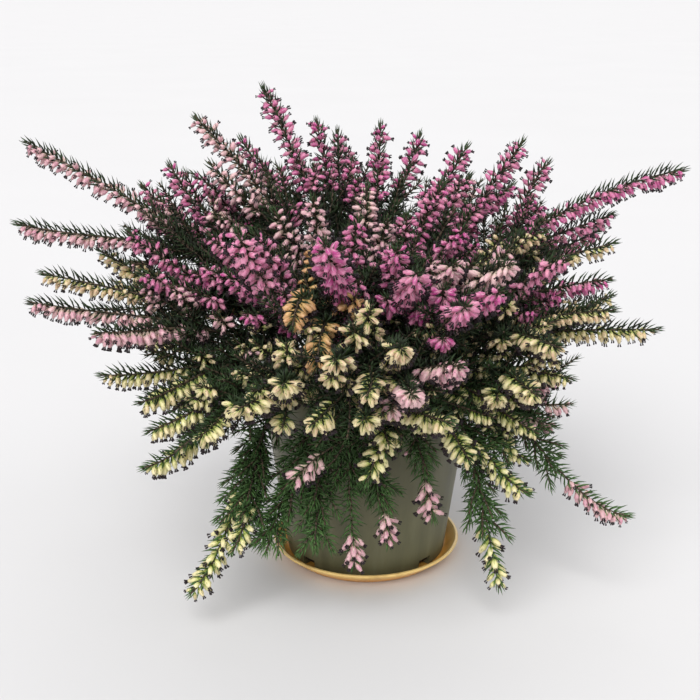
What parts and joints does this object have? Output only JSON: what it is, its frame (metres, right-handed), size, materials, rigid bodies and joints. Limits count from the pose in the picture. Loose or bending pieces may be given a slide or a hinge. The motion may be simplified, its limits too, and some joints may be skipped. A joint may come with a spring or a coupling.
{
  "type": "potted winter heath",
  "caption": "Flowering winter heath with needle-leaved stems and hanging bells, in a tapered plastic pot that stands on a shallow saucer.",
  "frame": {"origin": "middle of the saucer's flat underside", "axes": "-Z down through the flat underside, out of the face that it stands on; -Y towards the side seen in the picture"},
  "size_m": [0.3652, 0.3049, 0.2692],
  "materials": {
    "rose_bloom": "matte",
    "blush_bloom": "matte",
    "cream_bloom": "matte",
    "dried_bloom": "matte",
    "needles": "matte",
    "pot_plastic": "matte",
    "saucer_plastic": "satin",
    "potting_soil": "matte"
  },
  "bodies": {
    "root": {"saucer": "saucer_plastic", "pot": "pot_plastic", "soil": "potting_soil", "blush_stem_01": "blush_bloom", "cream_stem_02": "cream_bloom", "blush_stem_03": "blush_bloom", "cream_stem_04": "cream_bloom", "cream_stem_05": "cream_bloom", "cream_stem_06": "cream_bloom", "cream_stem_07": "cream_bloom", "rose_stem_08": "rose_bloom", "blush_stem_09": "blush_bloom", "rose_stem_10": "rose_bloom", "rose_stem_11": "rose_bloom", "rose_stem_12": "rose_bloom", "rose_stem_13": "rose_bloom", "rose_stem_14": "rose_bloom", "rose_stem_15": "rose_bloom", "rose_stem_16": "rose_bloom", "rose_stem_17": "rose_bloom", "rose_stem_18": "rose_bloom", "blush_stem_19": "blush_bloom", "blush_stem_20": "blush_bloom", "rose_stem_21": "rose_bloom", "rose_stem_22": "rose_bloom", "rose_stem_23": "rose_bloom", "cream_stem_24": "cream_bloom", "rose_stem_25": "rose_bloom", "blush_stem_26": "blush_bloom", "rose_stem_27": "rose_bloom", "cream_stem_28": "cream_bloom", "cream_stem_29": "cream_bloom", "cream_stem_30": "cream_bloom", "cream_stem_31": "cream_bloom", "blush_stem_32": "blush_bloom", "cream_stem_33": "cream_bloom", "dried_stem_34": "dried_bloom", "cream_stem_35": "cream_bloom", "cream_stem_36": "cream_bloom", "cream_stem_37": "cream_bloom", "blush_stem_38": "blush_bloom", "cream_stem_39": "cream_bloom", "cream_stem_40": "cream_bloom", "blush_stem_41": "blush_bloom", "blush_stem_42": "blush_bloom", "leafy_stem_43": "needles", "rose_stem_44": "rose_bloom", "cream_stem_45": "cream_bloom", "blush_stem_46": "blush_bloom", "cream_stem_47": "cream_bloom", "rose_stem_48": "rose_bloom", "cream_stem_49": "cream_bloom", "blush_stem_50": "blush_bloom", "cream_stem_51": "cream_bloom", "rose_stem_52": "rose_bloom"}
  },
  "joints": []
}
